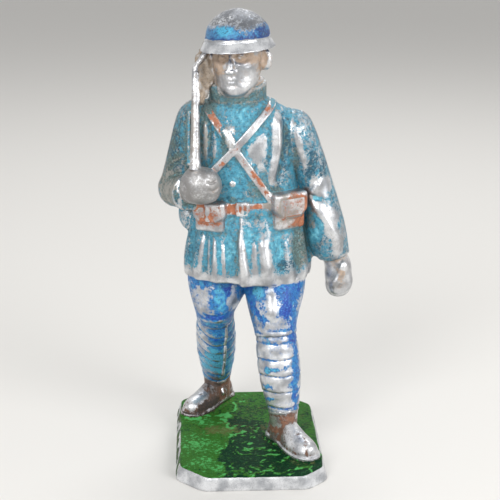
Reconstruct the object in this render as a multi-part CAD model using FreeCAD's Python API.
import FreeCAD
import Part
import math
import os

# A cast toy soldier marching with a rifle at the shoulder, on its own base plate.
# Millimetres, +Z up. The origin is the centre of the base's underside.
# The figure faces -Y and its left side is +X. Heights are above the base's top.

V = FreeCAD.Vector

# Base plate
base_width = 19.2
base_length = 27.6
base_thickness = 1.8
base_draft = 0.6
base_end_draft = 0.25
base_edge_round = 0.35
base_corner_round = 1.5
front_right_cut = 3.4
front_left_cut = 2.6
back_right_cut = 2.8
back_left_cut = 4.8

# Boots: the ankle axis stands over a point on the sole
left_ankle_side = 4.5
left_ankle_forward = 3.1
left_foot_turn = 27.0
right_ankle_side = 3.9
right_ankle_back = 10.7
right_foot_turn = 36.0
right_leg_size = 0.92
boot_length = 9.8
heel_reach = 2.7
boot_half_width = 1.85
instep_height = 3.5
sole_thickness = 0.5
sole_overhang = 0.2
ankle_height = 4.4
ankle_half_width = 1.95
ankle_half_depth = 2.0
shaft_neck_share = 0.92

# Shins, wound in puttees
left_knee_side = 3.55
left_knee_forward = 1.1
left_knee_height = 14.4
right_knee_side = 4.2
right_knee_back = 3.5
right_knee_height = 15.4
calf_swell = 0.45
puttee_step = 0.13
puttee_wraps = 5
wrap_lap_share = 0.8

# Breeches
knee_half_width = 2.55
knee_half_depth = 2.6
knee_bag_rise = 1.7
knee_bag = 0.45
thigh_half_width = 3.95
thigh_half_depth = 3.6
thigh_height = 19.8
left_thigh_side = 3.55
left_thigh_back = 1.6
right_thigh_side = 3.8
right_thigh_back = 3.1
hip_height = 23.2
hip_share = 0.82

# Coat: skirt below the waist, body above it
body_back = 2.9
hem_height = 21.4
left_hem_drop = 0.3
lap_thickness = 0.22
skirt_half_width = 8.0
skirt_half_depth = 5.7
skirt_shift = -0.1
skirt_lap_side = 0.95
fold_count = 15
fold_depth = 0.24
points_per_fold = 4
waist_height = 31.0
waist_half_width = 6.6
waist_half_depth = 4.2
chest_half_width = 6.9
chest_half_depth = 4.5
chest_shift = 0.7
neck_root_height = 44.4
neck_root_half = 2.9
body_squareness = 0.9

# Belt and buckle
belt_width = 1.5
belt_thickness = 0.4
buckle_width = 1.5
buckle_height = 1.75
buckle_rise = 0.25
buckle_side = 0.75
buckle_frame = 0.3

# Cross straps
strap_width = 0.95
strap_thickness = 0.35
top_strap_thickness = 0.5
cross_side = 1.75
cross_height = 38.7
bottle_strap_slope = 47.0
bag_strap_slope = 55.0

# Cartridge pouch, bag and water bottle
pouch_width = 3.9
pouch_height = 3.7
pouch_depth = 1.9
pouch_side = 4.65
pouch_turn = 24.0
bag_width = 4.5
bag_height = 4.5
bag_depth = 1.9
bag_side = 4.95
bag_turn = 32.0
pouch_round = 0.5
flap_thickness = 0.28
flap_share = 0.62
flap_point_share = 0.2
pouch_top = 31.7
bag_top = 32.7
bottle_half_width = 1.35
bottle_half_length = 2.1
bottle_half_height = 2.2
bottle_side = 7.5
bottle_back = 4.4
bottle_drop = 1.9

# Buttons
button_radius = 0.42
button_rise = 0.28
button_side = 1.95
button_first_drop = 4.4
button_pitch = 2.0
button_count = 2

# Web of metal left between the hanging arm and the coat
arm_web_thickness = 0.9
arm_web_top = 41.0
arm_web_top_side = 7.0
arm_web_foot = 22.8
arm_web_foot_side = 7.9
arm_web_arch = 23.9

# Left arm, hanging
shoulder_side = 6.1
shoulder_height = 40.0
shoulder_half_width = 2.4
shoulder_half_depth = 2.9
shoulder_half_height = 2.9
left_elbow_side = 9.35
left_elbow_height = 31.3
left_cuff_side = 11.35
left_cuff_height = 23.6
arm_back = 2.7
sleeve_half_width = 2.15
sleeve_half_depth = 2.4
cuff_half_width = 1.9
cuff_half_depth = 1.95
cuff_rim = 0.22
cuff_length = 0.8
hand_half_width = 1.9
hand_half_depth = 1.8
hand_half_height = 3.2
hand_drop_share = 0.75
palm_share = 0.95
fist_round = 0.2
wrist_share = 0.8
finger_radius = 0.6
finger_pitch = 0.95
finger_count = 4
tip_reach_share = 0.8
tip_size_share = 0.55
bicep_bow = 0.25

# Right arm, bent to carry the rifle
right_shoulder_side = 6.5
right_shoulder_height = 41.3
right_elbow_side = 8.9
right_elbow_back = 3.9
right_elbow_height = 32.5
elbow_half = 2.35
elbow_swell_share = 1.04
right_cuff_side = 7.5
right_cuff_forward = 1.1
right_cuff_height = 33.0
grip_side = 5.75
grip_forward = 2.5
grip_height = 34.6
grip_half_width = 2.2
grip_half_depth = 2.1
grip_half_height = 2.0

# Rifle, from its butt in the hand to its muzzle beside the helmet
butt_side = 6.75
butt_forward = 3.6
butt_height = 35.2
muzzle_side = 6.4
muzzle_back = 2.7
muzzle_height = 49.6
stock_width = 1.15
stock_depth = 2.0
stock_length_share = 0.60
fore_end_width = 1.0
fore_end_depth = 1.1
barrel_radius = 0.43
band_width = 0.5
band_rise = 0.08
sling_width = 0.8
sling_thickness = 0.35
sling_end_share = 0.55
stock_wrist_share = 0.7
butt_end_share = 0.12
butt_taper_share = 0.85
wrist_place_share = 0.75
fore_end_share = 0.85
band_offset_share = 0.05
bar_corner_share = 0.6
web_thickness = 0.9
web_reach = 3.2
web_start_share = 0.62
web_end_share = 0.98
web_top_rise = 2.4
web_top_reach = 1.7

# Neck and collar
head_side = 1.15
head_back = 2.1
head_turn = 18.0
head_lean = 3.0
collar_half_width = 3.6
collar_half_depth = 3.15
collar_height = 2.9
collar_wall = 0.55
collar_tilt = 14.0
collar_flare = 0.35
collar_show_share = 0.75
neck_length = 2.6

# Head
chin_height = 45.2
head_height = 9.6
head_half_width = 3.25
head_half_length = 3.95
face_front_share = 0.86
nose_bridge_share = 0.52
nose_tip_share = 0.34
nose_reach = 0.75
nose_half_width = 0.5
bridge_share = 0.6
chin_radius = 0.95
chin_sink_share = 0.85
brow_half = 1.5
brow_radius = 0.45
ear_side_share = 1.05
ear_place_share = 0.42
ear_half_length = 1.35
ear_half_depth = 0.85
ear_half_width = 0.95

# Helmet
brim_height = 50.7
dome_half_width = 3.95
dome_half_length = 4.6
dome_rise = 3.35
dome_base_rise = 1.3
brim_half_width = 4.65
brim_half_length = 5.75
brim_thickness = 0.35
crest_width = 0.8
crest_rise = 0.25
crest_end_rise = 0.1

overrun = 2.0
ring_points = 10
crumb_share = 0.02


def at(side, back, height):
    """A point by its distance to the figure's left, to the rear and above the base's top."""
    return V(side, back, base_thickness + height)


def unit(vector):
    return V(vector) / vector.Length


def oval(centre, first, second, squareness=1.0):
    """Closed smooth wire whose half axes are the two vectors. Under 1, squareness fills its corners."""
    points = []
    for k in range(ring_points):
        turn = 2 * math.pi * k / ring_points
        c, s = math.cos(turn), math.sin(turn)
        c = math.copysign(abs(c) ** squareness, c)
        s = math.copysign(abs(s) ** squareness, s)
        points.append(centre + first * c + second * s)
    curve = Part.BSplineCurve()
    curve.interpolate(points, True)
    return Part.Wire(curve.toShape())


def ring(centre, along, half_side, half_depth, side=V(1, 0, 0)):
    """Oval square to a limb's direction, its first half axis lying along the side."""
    along = unit(along)
    first = unit(side - along * side.dot(along))
    return oval(centre, first * half_side, along.cross(first) * half_depth)


def skin(wires, ruled=False):
    return Part.makeLoft(wires, True, ruled)


def ball(centre, half_x, half_y, half_z, turn=0.0):
    """Ellipsoid from three half axes, turned about the vertical."""
    stretch = FreeCAD.Matrix()
    stretch.scale(half_x, half_y, half_z)
    shape = Part.makeSphere(1).transformGeometry(stretch)
    shape.rotate(V(), V(0, 0, 1), turn)
    shape.translate(centre)
    return shape


def rod(start, end, radius):
    return Part.makeCylinder(radius, (end - start).Length, start, end - start)


def block(centre, width, depth, height, turn=0.0):
    """Box about its centre, turned about the vertical."""
    shape = Part.makeBox(width, depth, height, V(-width / 2, -depth / 2, -height / 2))
    shape.rotate(V(), V(0, 0, 1), turn)
    shape.translate(centre)
    return shape


def solids(shape):
    """The solids of a shape without the crumbs that a cut can leave."""
    found = sorted(shape.Solids, key=lambda s: s.Volume, reverse=True)
    kept = [s for s in found if s.Volume > crumb_share * found[0].Volume]
    return kept[0] if len(kept) == 1 else Part.makeCompound(kept)


def seat(piece, *carriers):
    """The piece with the room that its carriers fill cut out of it, so that it lies face to face."""
    for carrier in carriers:
        piece = piece.cut(carrier)
    return solids(piece)


# Base plate: an oblong with four unequal cut corners and drafted sides
def base_outline(side_inset, end_inset, height):
    right, left = side_inset - base_width / 2, base_width / 2 - side_inset
    front, back = end_inset - base_length / 2, base_length / 2 - end_inset
    corners = (
        (right + front_right_cut, front),
        (left - front_left_cut, front),
        (left, front + front_left_cut),
        (left, back - back_left_cut),
        (left - back_left_cut, back),
        (right + back_right_cut, back),
        (right, back - back_right_cut),
        (right, front + front_right_cut),
    )
    points = [V(x, y, height) for x, y in corners]
    return Part.makePolygon(points + points[:1])


def make_base_plate():
    plate = skin([base_outline(0, 0, 0), base_outline(base_draft, base_end_draft, base_thickness)], True)
    uprights = [e for e in plate.Edges if abs(e.tangentAt(e.FirstParameter).z) > 0.5]
    plate = plate.makeFillet(base_corner_round, uprights)
    rim = [e for e in plate.Edges if e.BoundBox.ZMin > base_thickness / 2]
    return plate.makeFillet(base_edge_round, rim)


# Legs. A leg is a dictionary of the points and directions that its pieces share.
def leg_frame(ankle, knee, thigh, hip, foot_turn, size):
    turn = math.radians(foot_turn)
    return {
        "ankle": ankle,
        "knee": knee,
        "thigh": thigh,
        "hip": hip,
        "forward": V(math.sin(turn), -math.cos(turn), 0),
        "shin": unit(knee - ankle),
        "size": size,
    }


left_leg = leg_frame(
    at(left_ankle_side, -left_ankle_forward, ankle_height),
    at(left_knee_side, -left_knee_forward, left_knee_height),
    at(left_thigh_side, left_thigh_back, thigh_height),
    at(left_thigh_side, body_back, hip_height),
    left_foot_turn,
    1,
)
right_leg = leg_frame(
    at(-right_ankle_side, right_ankle_back, ankle_height),
    at(-right_knee_side, right_knee_back, right_knee_height),
    at(-right_thigh_side, right_thigh_back, thigh_height),
    at(-right_thigh_side, body_back, hip_height),
    -right_foot_turn,
    right_leg_size,
)

# Shares of the boot's length, of its half width and of its instep height
boot_shares = (
    (0.00, 0.34, 0.42),
    (0.05, 0.66, 0.66),
    (0.16, 0.76, 0.90),
    (0.34, 0.76, 1.00),
    (0.50, 0.88, 0.80),
    (0.66, 1.00, 0.60),
    (0.82, 0.95, 0.52),
    (0.94, 0.70, 0.44),
    (1.00, 0.34, 0.26),
)


def heel_of(leg):
    """The point on the base's top below the back of the heel."""
    foot = V(leg["ankle"].x, leg["ankle"].y, base_thickness)
    return foot - leg["forward"] * heel_reach


def make_sole(leg):
    """Flat sole, a little wider than the upper all round."""
    across = leg["forward"].cross(V(0, 0, 1))
    reach = boot_length + 2 * sole_overhang
    start = heel_of(leg) - leg["forward"] * sole_overhang
    rows = [
        (start + leg["forward"] * (reach * along), boot_half_width * wide + sole_overhang)
        for along, wide, _ in boot_shares
    ]
    outline = [spot + across * half for spot, half in rows]
    outline += [spot - across * half for spot, half in reversed(rows)]
    curve = Part.BSplineCurve()
    curve.interpolate(outline, True)
    return Part.Face(Part.Wire(curve.toShape())).extrude(V(0, 0, sole_thickness))


def make_boot(leg):
    """Foot and shaft of the boot, cut flat on the sole and square to the shin at the ankle."""
    across = leg["forward"].cross(V(0, 0, 1))
    floor = heel_of(leg) + V(0, 0, sole_thickness)
    sections = []
    for along, wide, tall in boot_shares:
        middle = floor + leg["forward"] * (boot_length * along)
        sections.append(oval(middle, across * (boot_half_width * wide), V(0, 0, instep_height * tall)))
    foot = skin(sections)
    ground = V(leg["ankle"].x, leg["ankle"].y, base_thickness + sole_thickness)
    up = V(0, 0, 1)
    narrow = ankle_half_width * shaft_neck_share
    shaft = skin([
        ring(ground, up, narrow, ankle_half_depth),
        ring((ground + leg["ankle"]) / 2, up + leg["shin"], narrow, ankle_half_depth),
        ring(leg["ankle"], leg["shin"], ankle_half_width, ankle_half_depth),
    ])
    above = block(ground + V(0, 0, -boot_length / 2), 3 * boot_length, 3 * boot_length, boot_length)
    return seat(foot.fuse(shaft), above)


def shin_half(share, ankle_half, knee_half):
    """Half size of the shin at a share of its length, with the calf's swelling."""
    return ankle_half + (knee_half - ankle_half) * share + calf_swell * math.sin(math.pi * share)


def make_puttee(leg):
    """Cloth strip wound up the shin: each wrap's lower edge stands proud of the wrap below."""
    length = (leg["knee"] - leg["ankle"]).Length
    wires = []
    for wrap in range(puttee_wraps):
        for share, step in ((0, puttee_step), (wrap_lap_share, 0)):
            along = (wrap + share) / puttee_wraps
            wires.append(ring(
                leg["ankle"] + leg["shin"] * (length * along),
                leg["shin"],
                shin_half(along, ankle_half_width, knee_half_width * leg["size"]) + step,
                shin_half(along, ankle_half_depth, knee_half_depth * leg["size"]) + step,
            ))
    wires.append(ring(leg["knee"], leg["shin"], knee_half_width * leg["size"], knee_half_depth * leg["size"]))
    return skin(wires, True)


def make_breeches(leg):
    """Thigh of the breeches, gathered over the top of the puttee."""
    bag = leg["knee"] + leg["shin"] * knee_bag_rise
    wide, deep = knee_half_width * leg["size"], knee_half_depth * leg["size"]
    return skin([
        ring(leg["knee"], leg["shin"], wide + puttee_step, deep + puttee_step),
        ring(bag, leg["shin"] + unit(leg["thigh"] - bag), wide + knee_bag, deep + knee_bag),
        ring(leg["thigh"], leg["hip"] - bag, thigh_half_width, thigh_half_depth),
        ring(leg["hip"], V(0, 0, 1), thigh_half_width * hip_share, thigh_half_depth * hip_share),
    ])


# Coat skirt. Shares of the way from the hem to the waist, then of the flare and of the fold's depth.
skirt_shares = (
    (0.00, 0.93, 0.80),
    (0.05, 1.00, 1.00),
    (0.45, 0.80, 0.85),
    (0.80, 0.36, 0.45),
    (1.00, 0.00, 0.00),
)


def skirt_form(grow, drop):
    """The whole skirt as one folded bell, grown all round and lowered at its hem."""
    bottom = hem_height - drop
    wires = []
    for up, flare, fold in skirt_shares:
        half_width = waist_half_width + (skirt_half_width - waist_half_width) * flare + grow
        half_depth = waist_half_depth + (skirt_half_depth - waist_half_depth) * flare + grow
        centre = at(skirt_shift * flare, body_back, bottom + (waist_height - bottom) * up)
        points = []
        for k in range(fold_count * points_per_fold):
            turn = 2 * math.pi * k / (fold_count * points_per_fold)
            swell = fold_depth * fold * math.cos(fold_count * turn)
            side = (half_width + swell) * math.cos(turn)
            back = (half_depth + swell) * math.sin(turn)
            points.append(centre + V(side, back, 0))
        curve = Part.BSplineCurve()
        curve.interpolate(points, True)
        wires.append(Part.Wire(curve.toShape()))
    return skin(wires)


def half_space(side):
    """The room to the left, for +1, or to the right, for -1, of the line where the skirt laps."""
    size = 4 * skirt_half_width
    return block(V(side * size / 2 - skirt_lap_side, 0, size), size, size, 2 * size)


# Coat body. Shares of the way up from the waist, then of the chest's half width, half depth and shift.
body_shares = (
    (0.26, 0.975, 0.99, 0.80),
    (0.515, 1.00, 1.00, 1.00),
    (0.73, 1.03, 0.93, 1.00),
    (0.875, 0.90, 0.78, 1.10),
    (0.95, 0.64, 0.68, 1.20),
)


def coat_form(grow):
    """The coat's body from waist to neck, grown all round."""
    rows = [(waist_height, waist_half_width, waist_half_depth, 0)]
    for up, wide, deep, shift in body_shares:
        height = waist_height + (neck_root_height - waist_height) * up
        rows.append((height, chest_half_width * wide, chest_half_depth * deep, chest_shift * shift))
    rows.append((neck_root_height + grow, neck_root_half, neck_root_half, head_side))
    return skin([
        oval(at(-shift, body_back, height), V(wide + grow, 0, 0), V(0, deep + grow, 0), body_squareness)
        for height, wide, deep, shift in rows
    ])


def waist_front(side):
    """How far back the belt's outer face lies at a place across the front of the waist."""
    share = side / (waist_half_width + belt_thickness)
    return body_back - (waist_half_depth + belt_thickness) * math.sqrt(1 - share * share)


def make_belt(coat, skirts):
    half_width = waist_half_width + belt_thickness
    half_depth = waist_half_depth + belt_thickness
    wires = []
    for height in (waist_height - belt_width / 2, waist_height + belt_width / 2):
        centre = at(0, body_back, height)
        wires.append(oval(centre, V(half_width, 0, 0), V(0, half_depth, 0), body_squareness))
    return seat(skin(wires), coat, *skirts)


def make_buckle(belt, coat):
    """Two-bar frame buckle standing on the belt."""
    spot = at(-buckle_side, waist_front(buckle_side), waist_height)
    plate = block(spot, buckle_width, 2 * buckle_rise, buckle_height)
    window_width = (buckle_width - 3 * buckle_frame) / 2
    window = block(spot, window_width, overrun, buckle_height - 2 * buckle_frame)
    for side in (-1, 1):
        cut = window.copy()
        cut.translate(V(side * (window_width + buckle_frame) / 2, 0, 0))
        plate = plate.cut(cut)
    return seat(plate, belt, coat)


def strap_band(thickness, slope):
    """A flat strap's room round the coat: the coat grown by the strap, between two slanted planes."""
    size = 4 * waist_half_width
    slab = Part.makeBox(2 * size, 2 * size, strap_width, V(-size, -size, -strap_width / 2))
    slab.rotate(V(), V(0, 1, 0), -slope)
    slab.translate(at(-cross_side, body_back, cross_height))
    above_belt = block(at(0, body_back, waist_height + belt_width / 2 + size / 2), size, size, size)
    return coat_form(thickness).common(slab).common(above_belt)


# Pouch and bag: a rounded box on the waist under a lapped flap
def hung_case(side, turn, width, height, depth, top, carriers):
    """Body and flap of a flat case whose back is cut to what carries it."""
    spot = at(side, waist_front(side), top - height / 2)
    body = Part.makeBox(width, depth, height, V(-width / 2, -depth / 2, -height / 2))
    edges = [e for e in body.Edges if e.BoundBox.YMax < 0 or e.BoundBox.ZMax < 0]
    body = body.makeFillet(pouch_round, edges)
    grown = Part.makeBox(
        width + 2 * flap_thickness, depth + flap_thickness, height + flap_thickness,
        V(-width / 2 - flap_thickness, -depth / 2 - flap_thickness, -height / 2),
    )
    edges = [e for e in grown.Edges if e.BoundBox.YMax < 0 or e.BoundBox.ZMin > 0]
    grown = grown.makeFillet(pouch_round, edges)
    half = width / 2 + flap_thickness
    low = height / 2 - height * flap_share
    corner = low + height * flap_point_share
    lower = [(half, corner), (half / 2, low), (-half / 2, low), (-half, corner)]
    outline = [V(x, -depth, z) for x, z in [(-half, height), (half, height)] + lower]
    reach = Part.Face(Part.makePolygon(outline + outline[:1])).extrude(V(0, 2 * depth, 0))
    flap = grown.common(reach).cut(body)
    for piece in (body, flap):
        piece.rotate(V(), V(0, 0, 1), turn)
        piece.translate(spot)
    return seat(body, *carriers), seat(flap, *carriers)


def make_bottle(carriers):
    """Flat oval water bottle behind the right hip."""
    spot = at(-bottle_side, bottle_back, waist_height - bottle_drop)
    return seat(ball(spot, bottle_half_width, bottle_half_length, bottle_half_height), *carriers)


def make_buttons(coat):
    """Coat buttons in a row below the place where the straps cross."""
    buttons = []
    for row in range(button_count):
        height = cross_height - button_first_drop - button_pitch * row
        start = at(-button_side, -waist_half_depth, height)
        line = Part.makeLine(start, start + V(0, 2 * waist_half_depth, 0))
        face = min((p.Point for p in line.section(coat).Vertexes), key=lambda p: p.y)
        buttons.append(seat(ball(face, button_radius, button_rise, button_radius), coat))
    return Part.makeCompound(buttons)


# Arms
def limb(stations, side=V(1, 0, 0)):
    """Tapered limb through points, each with its half width and half depth."""
    spots = [spot for spot, _, _ in stations]
    wires = []
    for k, (spot, wide, deep) in enumerate(stations):
        along = spots[min(k + 1, len(spots) - 1)] - spots[max(k - 1, 0)]
        wires.append(ring(spot, along, wide, deep, side))
    return skin(wires)


# Egg: shares of its half height from its middle and of its half sizes there
egg_shares = ((-0.98, 0.22), (-0.72, 0.70), (0.00, 1.00), (0.72, 0.70), (0.98, 0.22))


def egg(centre, half_width, half_depth, half_height):
    """Upright egg, lofted so that its cuts stay clean."""
    return limb([
        (centre + V(0, 0, half_height * up), half_width * wide, half_depth * wide)
        for up, wide in egg_shares
    ])


def cuff_band(elbow, cuff):
    """Turned-back band round the end of a sleeve."""
    along = unit(cuff - elbow)
    wide, deep = cuff_half_width + cuff_rim, cuff_half_depth + cuff_rim
    return skin([ring(cuff - along * cuff_length, along, wide, deep), ring(cuff, along, wide, deep)])


left_elbow = at(left_elbow_side, arm_back, left_elbow_height)
left_cuff = at(left_cuff_side, arm_back, left_cuff_height)
right_elbow = at(-right_elbow_side, right_elbow_back, right_elbow_height)
right_cuff = at(-right_cuff_side, -right_cuff_forward, right_cuff_height)


# Rounded top of a sleeve: shares of its rise above the shoulder's middle and of its half sizes
shoulder_shares = ((0.97, 0.25), (0.80, 0.62), (0.42, 0.92), (0.00, 1.00))
# Shares of the way from the shoulder to the elbow and of the upper arm's bow
left_bicep_shares = ((0.45, 1.00),)
right_bicep_shares = ((0.35, 1.00), (0.70, 0.60))


def sleeve_top(shoulder, elbow, bow, bicep_shares):
    """Stations of a sleeve from the top of the shoulder down the upper arm."""
    up = unit(shoulder - elbow)
    stations = []
    for rise, wide in shoulder_shares:
        spot = shoulder + up * (shoulder_half_height * rise)
        stations.append((spot, shoulder_half_width * wide, shoulder_half_depth * wide))
    for along, bend in bicep_shares:
        middle = shoulder + (elbow - shoulder) * along + V(bow * bend, 0, 0)
        stations.append((middle, sleeve_half_width, sleeve_half_depth))
    return stations


def make_left_sleeve():
    shoulder = at(shoulder_side, body_back, shoulder_height)
    stations = sleeve_top(shoulder, left_elbow, bicep_bow, left_bicep_shares)
    arm = limb(stations + [
        (left_elbow, sleeve_half_width, sleeve_half_depth),
        (left_cuff, cuff_half_width, cuff_half_depth),
    ])
    return arm.fuse(cuff_band(left_elbow, left_cuff))


def make_arm_web():
    """Thin sheet of cast metal between the hanging arm and the coat, arched along its lower edge."""
    back = body_back - arm_web_thickness / 2
    foot = at(arm_web_foot_side, back, arm_web_foot)
    end = at(left_cuff_side, back, arm_web_foot)
    crown = at((arm_web_foot_side + left_cuff_side) / 2, back, arm_web_arch)
    corners = [
        end,
        at(left_elbow_side, back, left_elbow_height),
        at(arm_web_top_side, back, arm_web_top),
        at(0, back, arm_web_top),
        at(0, back, arm_web_foot),
        foot,
    ]
    outline = Part.Wire([Part.Arc(foot, crown, end).toShape()] + Part.makePolygon(corners).Edges)
    return Part.Face(outline).extrude(V(0, arm_web_thickness, 0))


def make_right_sleeve():
    shoulder = at(-right_shoulder_side, body_back, right_shoulder_height)
    stations = sleeve_top(shoulder, right_elbow, -bicep_bow, right_bicep_shares)
    upper = limb(stations + [(right_elbow, elbow_half, elbow_half)])
    lower = limb((
        (right_elbow, elbow_half, elbow_half),
        (right_cuff, cuff_half_width, cuff_half_depth),
    ))
    bend = Part.makeSphere(elbow_half * elbow_swell_share, right_elbow)
    return upper.fuse([lower, bend, cuff_band(right_elbow, right_cuff)])


def finger(points, radius, knuckle_line):
    """Finger with rounded ends along a bent line, whose bends turn about the line of the knuckles."""
    start = points[0] + unit(points[0] - points[1]) * (radius * tip_reach_share)
    end = points[-1] + unit(points[-1] - points[-2]) * (radius * tip_reach_share)
    tip = radius * tip_size_share
    stations = [(start, tip, tip)] + [(point, radius, radius) for point in points] + [(end, tip, tip)]
    return limb(stations, knuckle_line)


def knuckle_share(k):
    """How far a finger reaches from the fist's middle: the outer fingers less than the inner ones."""
    middle = (finger_count - 1) / 2
    return 1 - fist_round * ((k - middle) / middle) ** 2


# Bent lines of the fingers: shares of the hand's half width and half height
left_finger_shares = ((0.45, 0.10), (0.68, -0.45), (0.35, -0.80), (-0.35, -0.80), (-0.60, -0.40))
left_thumb_shares = ((0.25, 0.45), (0.00, 0.00), (-0.35, -0.35))


def make_left_hand():
    """Loose fist, fingers curled towards the thigh."""
    down = unit(left_cuff - left_elbow)
    centre = left_cuff + down * (hand_half_height * hand_drop_share)
    palm = egg(centre, hand_half_width * palm_share, hand_half_depth, hand_half_height * palm_share)
    wrist = rod(left_cuff - down * cuff_length, centre, hand_half_width * wrist_share)
    parts = [wrist]
    for k in range(finger_count):
        back = (k - (finger_count - 1) / 2) * finger_pitch
        wide, high = hand_half_width * knuckle_share(k), hand_half_height * knuckle_share(k)
        line = [centre + V(wide * x, back, high * z) for x, z in left_finger_shares]
        parts.append(finger(line, finger_radius, V(0, 1, 0)))
    front = -hand_half_depth
    line = [centre + V(hand_half_width * x, front, hand_half_height * z) for x, z in left_thumb_shares]
    parts.append(finger(line, finger_radius, V(0, 1, 0)))
    return palm.fuse(parts)


# Shares of the gripping hand's half width and half depth, from the palm round the front of the butt
grip_finger_shares = ((-0.80, 0.10), (-0.75, -0.60), (-0.20, -1.00), (0.45, -0.85), (0.80, -0.30))


def make_right_hand():
    """Hand closed round the rifle's butt."""
    centre = at(-grip_side, -grip_forward, grip_height)
    palm = egg(centre, grip_half_width, grip_half_depth * palm_share, grip_half_height)
    inside = right_cuff + unit(right_elbow - right_cuff) * cuff_length
    wrist = rod(inside, centre, hand_half_width * wrist_share)
    parts = [wrist]
    for k in range(finger_count):
        lift = (k - (finger_count - 1) / 2) * finger_pitch
        wide, deep = grip_half_width * knuckle_share(k), grip_half_depth * knuckle_share(k)
        line = [centre + V(wide * x, deep * y, lift) for x, y in grip_finger_shares]
        parts.append(finger(line, finger_radius, V(0, 0, 1)))
    return palm.fuse(parts)


# Rifle
butt = at(-butt_side, -butt_forward, butt_height)
muzzle = at(-muzzle_side, muzzle_back, muzzle_height)
rifle_line = unit(muzzle - butt)
rifle_side = unit(V(1, 0, 0) - rifle_line * rifle_line.x)
rifle_rear = rifle_line.cross(rifle_side)


def on_rifle(share):
    return butt + (muzzle - butt) * share


def rifle_bar(stations, shift=V()):
    """Bar with cut corners along the rifle: share of the way, width and depth at each station."""
    wires = []
    for share, width, depth in stations:
        centre = on_rifle(share) + shift
        corners = []
        for x, y in ((1, bar_corner_share), (bar_corner_share, 1)):
            corners += [(x, y), (-x, y), (-x, -y), (x, -y)]
        corners.sort(key=lambda corner: math.atan2(corner[1], corner[0]))
        points = [centre + rifle_side * (x * width / 2) + rifle_rear * (y * depth / 2) for x, y in corners]
        wires.append(Part.makePolygon(points + points[:1]))
    return skin(wires, True)


def make_rifle():
    """Stock, barrel, bands and sling."""
    wrist_depth = stock_depth * stock_wrist_share
    stock = rifle_bar((
        (0, stock_width, stock_depth),
        (butt_end_share, stock_width, stock_depth * butt_taper_share),
        (stock_length_share * wrist_place_share, stock_width * stock_wrist_share, wrist_depth),
        (stock_length_share, stock_width, wrist_depth),
        (fore_end_share, fore_end_width, fore_end_depth),
    ))
    barrel = rod(on_rifle(fore_end_share), muzzle, barrel_radius)
    bands = []
    for share, width, depth in (
        (stock_length_share + band_offset_share, stock_width, wrist_depth),
        (fore_end_share - band_offset_share, fore_end_width, fore_end_depth),
    ):
        half = band_width / 2 / (muzzle - butt).Length
        wide, deep = width + 2 * band_rise, depth + 2 * band_rise
        bands.append(seat(rifle_bar(((share - half, wide, deep), (share + half, wide, deep))), stock))
    sling = rifle_bar((
        (butt_end_share, sling_thickness, sling_width),
        (sling_end_share, sling_thickness, sling_width),
    ), rifle_side * (-(stock_width + sling_thickness) / 2))
    return stock, barrel, Part.makeCompound(bands), seat(sling, stock)


def make_web():
    """Thin sheet of cast metal left between the rifle, the head and the helmet's rim."""
    low, high = on_rifle(web_start_share), on_rifle(web_end_share)
    top = muzzle + rifle_line * web_top_rise
    inner, outer = rifle_side * web_reach, rifle_side * web_top_reach
    corners = (low, low + inner, top + inner, top + outer, high)
    corners = [corner - rifle_rear * (web_thickness / 2) for corner in corners]
    return Part.Face(Part.makePolygon(corners + corners[:1])).extrude(rifle_rear * web_thickness)


# Head. Shares of its height, then of its half width and of its half length forward and back.
head_shares = (
    (0.00, 0.40, -0.86, -0.20),
    (0.08, 0.66, -0.93, 0.05),
    (0.22, 0.86, -0.92, 0.45),
    (0.38, 0.92, -0.90, 0.80),
    (0.55, 0.98, -0.88, 0.98),
    (0.68, 0.98, -0.88, 1.00),
)


def turned(shape):
    """Turned and leant with the head to its right, about a point inside the helmet's rim."""
    middle = at(-head_side, head_back, brim_height)
    shape.rotate(middle, V(0, 0, 1), -head_turn)
    shape.rotate(middle, V(0, 1, 0), -head_lean)
    return shape


def make_head():
    wires = []
    for up, wide, front, back in head_shares:
        middle = head_back + head_half_length * (front + back) / 2
        half_depth = head_half_length * (back - front) / 2
        centre = at(-head_side, middle, chin_height + head_height * up)
        wires.append(oval(centre, V(head_half_width * wide, 0, 0), V(0, half_depth, 0)))
    skull = skin(wires)
    face = head_back - head_half_length * face_front_share
    bridge = at(-head_side, face, chin_height + head_height * nose_bridge_share)
    tip = at(-head_side, face - nose_reach, chin_height + head_height * nose_tip_share)
    slope = tip - bridge
    nose = Part.makeCone(nose_half_width * bridge_share, nose_half_width, slope.Length, bridge, slope)
    chin_spot = at(-head_side, face + chin_radius * chin_sink_share, chin_height + chin_radius)
    chin = Part.makeSphere(chin_radius, chin_spot)
    brow = at(-head_side, face + brow_radius, chin_height + head_height * nose_bridge_share)
    brows = finger([brow - V(brow_half, 0, 0), brow, brow + V(brow_half, 0, 0)], brow_radius, V(0, 0, 1))
    return turned(skull.fuse([nose, Part.makeSphere(nose_half_width, tip), chin, brows]))


def make_ears(head):
    pair = []
    for reach in (-head_half_width, head_half_width):
        spot = at(reach * ear_side_share - head_side, head_back, chin_height + head_height * ear_place_share)
        pair.append(seat(turned(egg(spot, ear_half_width, ear_half_depth, ear_half_length)), head))
    return Part.makeCompound(pair)


def helmet_oval(height, half_width, half_length):
    return oval(at(-head_side, head_back, height), V(half_width, 0, 0), V(0, half_length, 0))


# Helmet dome: shares of its rise and of its half sizes
dome_shares = (
    (0.00, 1.00),
    (0.25, 0.93),
    (0.45, 0.83),
    (0.63, 0.70),
    (0.80, 0.52),
    (0.92, 0.34),
    (0.99, 0.14),
)


def make_dome():
    """Oval dome with a flat underside, closed at the top under the comb."""
    base = brim_height + dome_base_rise
    return turned(skin([
        helmet_oval(base + dome_rise * up, dome_half_width * wide, dome_half_length * wide)
        for up, wide in dome_shares
    ]))


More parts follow.
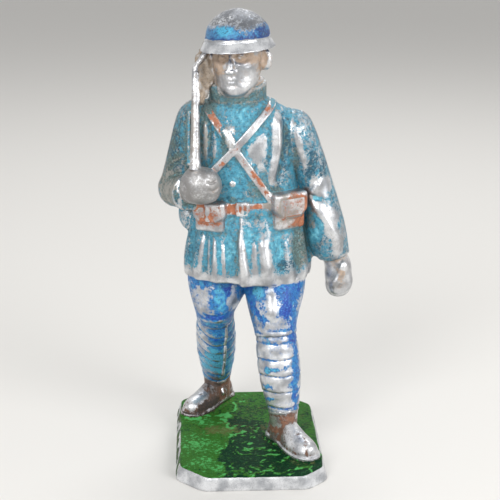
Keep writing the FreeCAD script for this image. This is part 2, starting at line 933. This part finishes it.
def make_brim(head):
    """Flared rim: a shallow cone closed in to the head along its upper edge."""
    def cone(drop):
        return skin([
            helmet_oval(brim_height - drop, brim_half_width, brim_half_length),
            helmet_oval(brim_height + dome_base_rise - drop, dome_half_width, dome_half_length),
        ], True)
    return seat(turned(cone(0).cut(cone(brim_thickness))), head)


def make_crest(dome):
    """Low comb over the dome from front to back."""
    rise, reach = dome_rise + crest_rise, dome_half_length + crest_end_rise
    rows = [(-reach * wide, rise * up) for up, wide in dome_shares]
    rows += [(0, rise)]
    rows += [(reach * wide, rise * up) for up, wide in reversed(dome_shares)]
    start = at(-head_side - crest_width / 2, head_back, brim_height + dome_base_rise)
    curve = Part.BSplineCurve()
    curve.interpolate([start + V(0, back, up) for back, up in rows])
    foot = Part.makeLine(start + V(0, reach, 0), start - V(0, reach, 0))
    comb = Part.Face(Part.Wire([curve.toShape(), foot])).extrude(V(crest_width, 0, 0))
    return seat(turned(comb), dome)


# Neck and collar
def collar_ring(height, half_width, half_depth):
    lean = math.radians(collar_tilt)
    return oval(
        at(-head_side, body_back - height * math.sin(lean), neck_root_height + height),
        V(half_width, 0, 0),
        V(0, half_depth * math.cos(lean), half_depth * math.sin(lean)),
    )


def make_neck():
    half_width, half_depth = collar_half_width - collar_wall, collar_half_depth - collar_wall
    return skin([
        collar_ring(-collar_height, half_width, half_depth),
        collar_ring(0, half_width, half_depth),
        collar_ring(neck_length, half_width, half_depth),
    ])


def make_collar():
    return skin([
        collar_ring(-collar_height, collar_half_width + collar_flare, collar_half_depth + collar_flare),
        collar_ring(0, collar_half_width, collar_half_depth),
        collar_ring(collar_height * collar_show_share, collar_half_width, collar_half_depth),
    ])


# Assembly: each piece is cut to those it rests on
nodes = {"base_plate": make_base_plate()}
for name, leg in (("left", left_leg), ("right", right_leg)):
    nodes[name + "_sole"] = make_sole(leg)
    nodes[name + "_boot"] = make_boot(leg)
    nodes[name + "_puttee"] = seat(make_puttee(leg), nodes[name + "_boot"])

skirt_right = solids(skirt_form(0, 0).common(half_space(-1)))
skirt_left = solids(skirt_form(lap_thickness, left_hem_drop).common(half_space(1)))
skirts = (skirt_right, skirt_left)
left_breeches = seat(make_breeches(left_leg), *skirts)
right_breeches = seat(make_breeches(right_leg), *skirts, left_breeches)
nodes["left_breeches"] = left_breeches
nodes["right_breeches"] = right_breeches
nodes["coat_skirt_right"] = skirt_right
nodes["coat_skirt_left"] = skirt_left

coat = coat_form(0)
neck = make_neck()
head = make_head()
coat = seat(coat, neck)
neck = seat(neck, head)
collar = seat(make_collar(), coat, neck, head)
left_sleeve = seat(make_left_sleeve(), coat, *skirts)
right_sleeve = seat(make_right_sleeve(), coat, *skirts)
nodes["coat_body"] = coat
nodes["coat_collar"] = collar
nodes["left_sleeve"] = left_sleeve
nodes["right_sleeve"] = right_sleeve
nodes["coat_buttons"] = make_buttons(coat)

belt = seat(make_belt(coat, skirts), left_sleeve, right_sleeve)
buckle = make_buckle(belt, coat)
worn = (coat, left_sleeve, right_sleeve, collar, neck)
bottle_strap = seat(strap_band(top_strap_thickness, bottle_strap_slope), *worn)
bag_strap = seat(strap_band(strap_thickness, -bag_strap_slope), *worn, bottle_strap)
carriers = (belt, coat, skirt_right, skirt_left, bottle_strap, bag_strap, buckle)
pouch, pouch_flap = hung_case(
    -pouch_side, -pouch_turn, pouch_width, pouch_height, pouch_depth, pouch_top, carriers,
)
bag, bag_flap = hung_case(bag_side, bag_turn, bag_width, bag_height, bag_depth, bag_top, carriers)
nodes["belt"] = belt
nodes["belt_buckle"] = buckle
nodes["strap_to_bottle"] = bottle_strap
nodes["strap_to_bag"] = bag_strap
nodes["pouch"] = pouch
nodes["pouch_flap"] = pouch_flap
nodes["bag"] = bag
nodes["bag_flap"] = bag_flap
nodes["water_bottle"] = make_bottle((belt, coat, skirt_right, right_sleeve))

dome = make_dome()
brim = make_brim(head)
nodes["neck"] = neck
nodes["head"] = seat(head, dome)
nodes["ears"] = make_ears(head)
nodes["helmet_dome"] = dome
nodes["helmet_brim"] = brim
nodes["helmet_crest"] = make_crest(dome)

nodes["left_hand"] = seat(make_left_hand(), left_sleeve, *skirts, left_breeches)
nodes["arm_web"] = seat(make_arm_web(), coat, *skirts, left_sleeve, nodes["left_hand"], belt, bag, bag_flap)
right_hand = seat(make_right_hand(), right_sleeve, coat, belt, bottle_strap, bag_strap, pouch, pouch_flap)
stock, barrel, bands, sling = make_rifle()
around = (right_hand, right_sleeve, coat, collar)
stock = seat(stock, *around)
nodes["right_hand"] = right_hand
nodes["rifle_stock"] = stock
nodes["rifle_barrel"] = seat(barrel, stock, brim)
nodes["rifle_bands"] = seat(bands, stock, *around)
nodes["rifle_sling"] = seat(sling, stock, bands, *around)
nodes["rifle_web"] = seat(
    make_web(), stock, barrel, bands, sling, *around, neck, head, nodes["ears"], brim, dome, bag_strap)

os.makedirs("parts", exist_ok=True)
for name, shape in nodes.items():
    shape.exportStep("parts/" + name + ".step")
